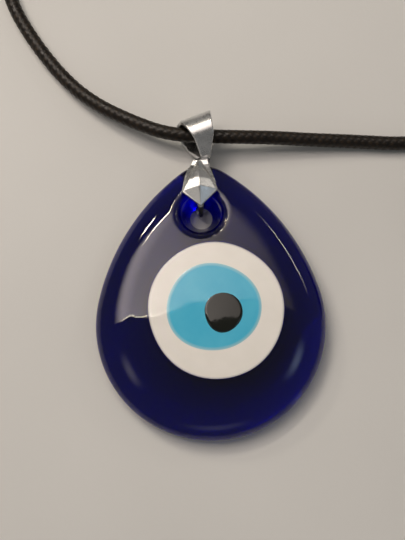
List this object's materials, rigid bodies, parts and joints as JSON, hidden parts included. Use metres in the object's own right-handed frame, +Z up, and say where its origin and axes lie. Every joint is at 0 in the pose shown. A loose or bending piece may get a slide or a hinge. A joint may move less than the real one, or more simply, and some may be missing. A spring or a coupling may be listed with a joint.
{
  "type": "evil eye pendant",
  "caption": "Cobalt glass drop with a white, light blue and black eye, on a silver pinch bail and a black waxed cord with a lobster clasp and chain.",
  "frame": {"origin": "under the middle of the pendant (glass and bail without the cord), on the table that it lies on", "axes": "+Y from the glass's round end towards the bail, +Z up, out of the eye, +X to the right of someone who looks at the eye with the bail on top"},
  "size_m": [0.1011, 0.1124, 0.0087],
  "materials": {
    "cobalt_glass": "polished",
    "white_glass": "polished",
    "light_blue_glass": "polished",
    "black_glass": "polished",
    "silver": "polished, lightly scratched",
    "waxed_cord": "waxed",
    "plated_metal": "plated",
    "spring_steel": "bright"
  },
  "bodies": {
    "pendant": {"glass_body": "cobalt_glass", "eye_white": "white_glass", "eye_iris": "light_blue_glass", "eye_pupil": "black_glass"},
    "bail": {"bail": "silver"},
    "cord": {"cord_span": "waxed_cord", "cord_coil_left": "waxed_cord", "cord_coil_right": "waxed_cord", "cord_tail_left": "waxed_cord", "cord_tail_right": "waxed_cord", "crimp_left": "plated_metal", "crimp_right": "plated_metal"},
    "ring_left": {"jump_ring_left": "plated_metal"},
    "clasp": {"clasp_body": "plated_metal", "clasp_rivet": "plated_metal", "clasp_spring": "spring_steel"},
    "lever": {"clasp_lever": "plated_metal"},
    "ring_right": {"jump_ring_right": "plated_metal"},
    "link_01": {"chain_link_01": "plated_metal"},
    "link_02": {"chain_link_02": "plated_metal"},
    "link_03": {"chain_link_03": "plated_metal"},
    "link_04": {"chain_link_04": "plated_metal"},
    "link_05": {"chain_link_05": "plated_metal"},
    "link_06": {"chain_link_06": "plated_metal"},
    "link_07": {"chain_link_07": "plated_metal"},
    "link_08": {"chain_link_08": "plated_metal"},
    "link_09": {"chain_link_09": "plated_metal"},
    "link_10": {"chain_link_10": "plated_metal"},
    "drop": {"chain_drop": "plated_metal"}
  },
  "joints": [
    {"name": "bail_swing", "type": "hinge", "parent": "pendant", "child": "bail", "pos_m": [-0.00046, 0.00954, 0.00098], "axis": [0, -0.0276, 0.9996], "range_deg": [-30, 30]},
    {"name": "cord_turn", "type": "hinge", "parent": "bail", "child": "cord", "pos_m": [0.00045, 0.02354, 0.00355], "axis": [0.9961, -0.0876, -0.0092], "range_deg": [-90, 90]},
    {"name": "ring_left_swing", "type": "hinge", "parent": "cord", "child": "ring_left", "pos_m": [0.01154, 0.07129, 0.00176], "axis": [0, 0, 1], "range_deg": [-20, 20]},
    {"name": "clasp_swing", "type": "hinge", "parent": "ring_left", "child": "clasp", "pos_m": [0.01511, 0.06999, 0.00176], "axis": [0, 0, 1], "range_deg": [-20, 20]},
    {"name": "clasp_lever", "type": "hinge", "parent": "clasp", "child": "lever", "pos_m": [0.01775, 0.06759, 0.00176], "axis": [0, 0, 1], "range_deg": [0, 20], "stiffness_Nm_per_rad": 0.005, "springref_deg": -11.46, "deforming": ["clasp_spring"]},
    {"name": "ring_right_swing", "type": "hinge", "parent": "cord", "child": "ring_right", "pos_m": [0.04972, 0.04304, 0.00176], "axis": [0, 0, 1], "range_deg": [-20, 20]},
    {"name": "link_01_swing", "type": "hinge", "parent": "ring_right", "child": "link_01", "pos_m": [0.05073, 0.04626, 0.00176], "axis": [0, 0, 1], "range_deg": [-15, 15]},
    {"name": "link_02_swing", "type": "hinge", "parent": "link_01", "child": "link_02", "pos_m": [0.05169, 0.04929, 0.00176], "axis": [0, 0, 1], "range_deg": [-15, 15]},
    {"name": "link_03_swing", "type": "hinge", "parent": "link_02", "child": "link_03", "pos_m": [0.05265, 0.05234, 0.00176], "axis": [0, 0, 1], "range_deg": [-15, 15]},
    {"name": "link_04_swing", "type": "hinge", "parent": "link_03", "child": "link_04", "pos_m": [0.05361, 0.05539, 0.00176], "axis": [0, 0, 1], "range_deg": [-15, 15]},
    {"name": "link_05_swing", "type": "hinge", "parent": "link_04", "child": "link_05", "pos_m": [0.05458, 0.05845, 0.00176], "axis": [0, 0, 1], "range_deg": [-15, 15]},
    {"name": "link_06_swing", "type": "hinge", "parent": "link_05", "child": "link_06", "pos_m": [0.05554, 0.0615, 0.00176], "axis": [0, 0, 1], "range_deg": [-15, 15]},
    {"name": "link_07_swing", "type": "hinge", "parent": "link_06", "child": "link_07", "pos_m": [0.0565, 0.06455, 0.00176], "axis": [0, 0, 1], "range_deg": [-15, 15]},
    {"name": "link_08_swing", "type": "hinge", "parent": "link_07", "child": "link_08", "pos_m": [0.05746, 0.0676, 0.00176], "axis": [0, 0, 1], "range_deg": [-15, 15]},
    {"name": "link_09_swing", "type": "hinge", "parent": "link_08", "child": "link_09", "pos_m": [0.05842, 0.07065, 0.00176], "axis": [0, 0, 1], "range_deg": [-15, 15]},
    {"name": "link_10_swing", "type": "hinge", "parent": "link_09", "child": "link_10", "pos_m": [0.05939, 0.07371, 0.00176], "axis": [0, 0, 1], "range_deg": [-15, 15]},
    {"name": "drop_swing", "type": "hinge", "parent": "link_10", "child": "drop", "pos_m": [0.06035, 0.07676, 0.00176], "axis": [0, 0, 1], "range_deg": [-15, 15]}
  ]
}
